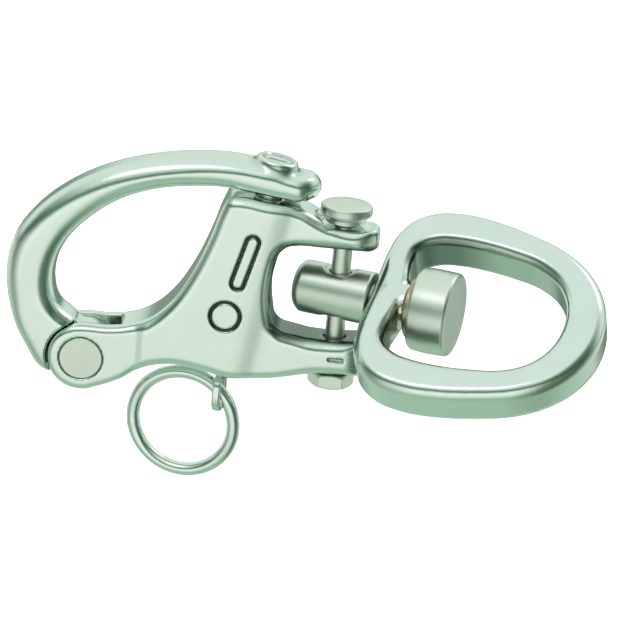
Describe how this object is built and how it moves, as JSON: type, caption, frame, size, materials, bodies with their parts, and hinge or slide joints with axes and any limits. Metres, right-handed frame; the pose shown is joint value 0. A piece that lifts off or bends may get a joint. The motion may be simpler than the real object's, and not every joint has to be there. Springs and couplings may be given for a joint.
{
  "type": "snap shackle",
  "caption": "Quick-release snap shackle with a hinged hook gate, a spring plunger with a pull ring, and a toggling swivel bail.",
  "frame": {"origin": "middle of the jaw, where the load bears between the gate and the neck", "axes": "+X along the shackle from the jaw towards the bail, +Y through its thickness, +Z along the clevis bolt towards its head"},
  "size_m": [0.1165, 0.0424, 0.069],
  "materials": {
    "cast_steel": "polished cast stainless steel",
    "turned_steel": "turned and polished stainless steel",
    "wire_steel": "drawn stainless wire and strip",
    "spring_steel": "drawn spring wire",
    "washer_bronze": "turned bronze"
  },
  "bodies": {
    "body": {"body": "cast_steel", "gate_rivet": "turned_steel", "clevis_bolt": "turned_steel", "clevis_nut": "turned_steel", "plunger_spring": "spring_steel"},
    "gate": {"gate": "cast_steel"},
    "plunger": {"plunger": "turned_steel", "plunger_eye": "wire_steel"},
    "pull_ring": {"pull_ring": "wire_steel"},
    "toggle": {"toggle": "turned_steel", "swivel_head": "turned_steel", "thrust_washer": "washer_bronze"},
    "bail": {"bail": "cast_steel"}
  },
  "joints": [
    {"name": "gate_hinge", "type": "hinge", "parent": "body", "child": "gate", "pos_m": [-0.009, 0, -0.0208], "axis": [0, -1, 0], "range_deg": [0, 90]},
    {"name": "plunger_slide", "type": "slide", "parent": "body", "child": "plunger", "axis": [-0.1564, 0, -0.9877], "range_m": [0, 0.005], "stiffness_N_per_m": 400, "springref_m": -0.004, "deforming": ["plunger_spring"]},
    {"name": "ring_swing", "type": "hinge", "parent": "plunger", "child": "pull_ring", "pos_m": [0.01832, 0, -0.02689], "axis": [0.7269, -0.1545, -0.6691], "range_deg": [-70, 70]},
    {"name": "toggle_hinge", "type": "hinge", "parent": "body", "child": "toggle", "pos_m": [0.04, 0, -0.004], "axis": [0, 0, 1], "range_deg": [-77, 113]},
    {"name": "bail_swivel", "type": "hinge", "parent": "toggle", "child": "bail", "pos_m": [0.04, 0, -0.004], "axis": [0.9511, -0.309, 0], "continuous": true}
  ]
}
